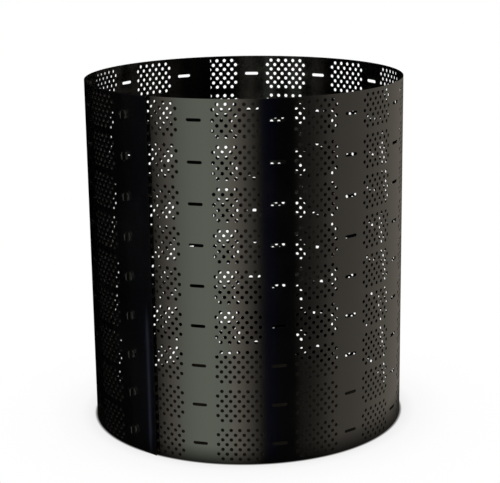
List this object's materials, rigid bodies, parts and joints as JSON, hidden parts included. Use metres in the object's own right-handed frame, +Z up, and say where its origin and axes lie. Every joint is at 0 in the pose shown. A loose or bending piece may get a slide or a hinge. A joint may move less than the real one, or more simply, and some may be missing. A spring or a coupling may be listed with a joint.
{
  "type": "compost bin",
  "caption": "Open-topped, open-bottomed compost bin: a perforated plastic sheet rolled into a tube and held shut by twist keys.",
  "frame": {"origin": "on the ground under the middle of the rolled wall's box", "axes": "+Z up along the tube; -Y faces the side that the picture shows, with the lapped seam to its left"},
  "size_m": [0.8318, 0.8312, 0.9144],
  "materials": {
    "sheet_plastic": "satin black extruded sheet",
    "key_plastic": "satin black moulding"
  },
  "bodies": {
    "wall": {"perforated_wall": "sheet_plastic"},
    "closure_key_1": {"closure_key_1": "key_plastic"},
    "closure_key_2": {"closure_key_2": "key_plastic"},
    "closure_key_3": {"closure_key_3": "key_plastic"},
    "closure_key_4": {"closure_key_4": "key_plastic"},
    "closure_key_5": {"closure_key_5": "key_plastic"},
    "closure_key_6": {"closure_key_6": "key_plastic"},
    "closure_key_7": {"closure_key_7": "key_plastic"},
    "closure_key_8": {"closure_key_8": "key_plastic"},
    "closure_key_9": {"closure_key_9": "key_plastic"}
  },
  "joints": [
    {"name": "key_turn_1", "type": "hinge", "parent": "wall", "child": "closure_key_1", "pos_m": [-0.2922, -0.29645, 0.0508], "axis": [-0.7028, -0.7114, 0], "range_deg": [0, 90]},
    {"name": "key_turn_2", "type": "hinge", "parent": "wall", "child": "closure_key_2", "pos_m": [-0.2922, -0.29645, 0.1524], "axis": [-0.7028, -0.7114, 0], "range_deg": [0, 90]},
    {"name": "key_turn_3", "type": "hinge", "parent": "wall", "child": "closure_key_3", "pos_m": [-0.2922, -0.29645, 0.254], "axis": [-0.7028, -0.7114, 0], "range_deg": [0, 90]},
    {"name": "key_turn_4", "type": "hinge", "parent": "wall", "child": "closure_key_4", "pos_m": [-0.2922, -0.29645, 0.3556], "axis": [-0.7028, -0.7114, 0], "range_deg": [0, 90]},
    {"name": "key_turn_5", "type": "hinge", "parent": "wall", "child": "closure_key_5", "pos_m": [-0.2922, -0.29645, 0.4572], "axis": [-0.7028, -0.7114, 0], "range_deg": [0, 90]},
    {"name": "key_turn_6", "type": "hinge", "parent": "wall", "child": "closure_key_6", "pos_m": [-0.2922, -0.29645, 0.5588], "axis": [-0.7028, -0.7114, 0], "range_deg": [0, 90]},
    {"name": "key_turn_7", "type": "hinge", "parent": "wall", "child": "closure_key_7", "pos_m": [-0.2922, -0.29645, 0.6604], "axis": [-0.7028, -0.7114, 0], "range_deg": [0, 90]},
    {"name": "key_turn_8", "type": "hinge", "parent": "wall", "child": "closure_key_8", "pos_m": [-0.2922, -0.29645, 0.762], "axis": [-0.7028, -0.7114, 0], "range_deg": [0, 90]},
    {"name": "key_turn_9", "type": "hinge", "parent": "wall", "child": "closure_key_9", "pos_m": [-0.2922, -0.29645, 0.8636], "axis": [-0.7028, -0.7114, 0], "range_deg": [0, 90]}
  ]
}
